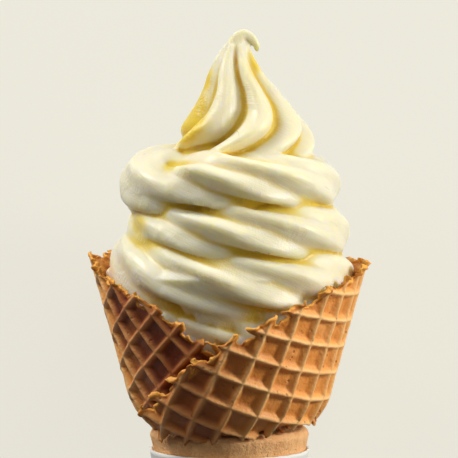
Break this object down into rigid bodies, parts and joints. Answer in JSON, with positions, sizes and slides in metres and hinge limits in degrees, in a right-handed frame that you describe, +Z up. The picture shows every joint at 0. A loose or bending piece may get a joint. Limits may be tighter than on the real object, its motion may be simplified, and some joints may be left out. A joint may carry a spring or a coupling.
{
  "type": "soft serve cone",
  "caption": "Piped soft ice with a twisted peak in a rolled waffle bowl on a wafer stem with a plain white paper sleeve, lying on its back",
  "frame": {"origin": "on the ground, under the middle of the part's bounding box", "axes": "+Z up, the shown side faces up; +Y runs along the length from the sleeve's tip to the peak of the ice; +X is the shown side's right"},
  "size_m": [0.0836, 0.225, 0.0759],
  "materials": {
    "vanilla_ice": "satin",
    "waffle": "matte",
    "wafer": "matte",
    "white_paper": "matte"
  },
  "bodies": {
    "root": {"soft_serve": "vanilla_ice", "waffle_bowl": "waffle", "wafer_base": "wafer", "paper_sleeve": "white_paper"}
  },
  "joints": []
}
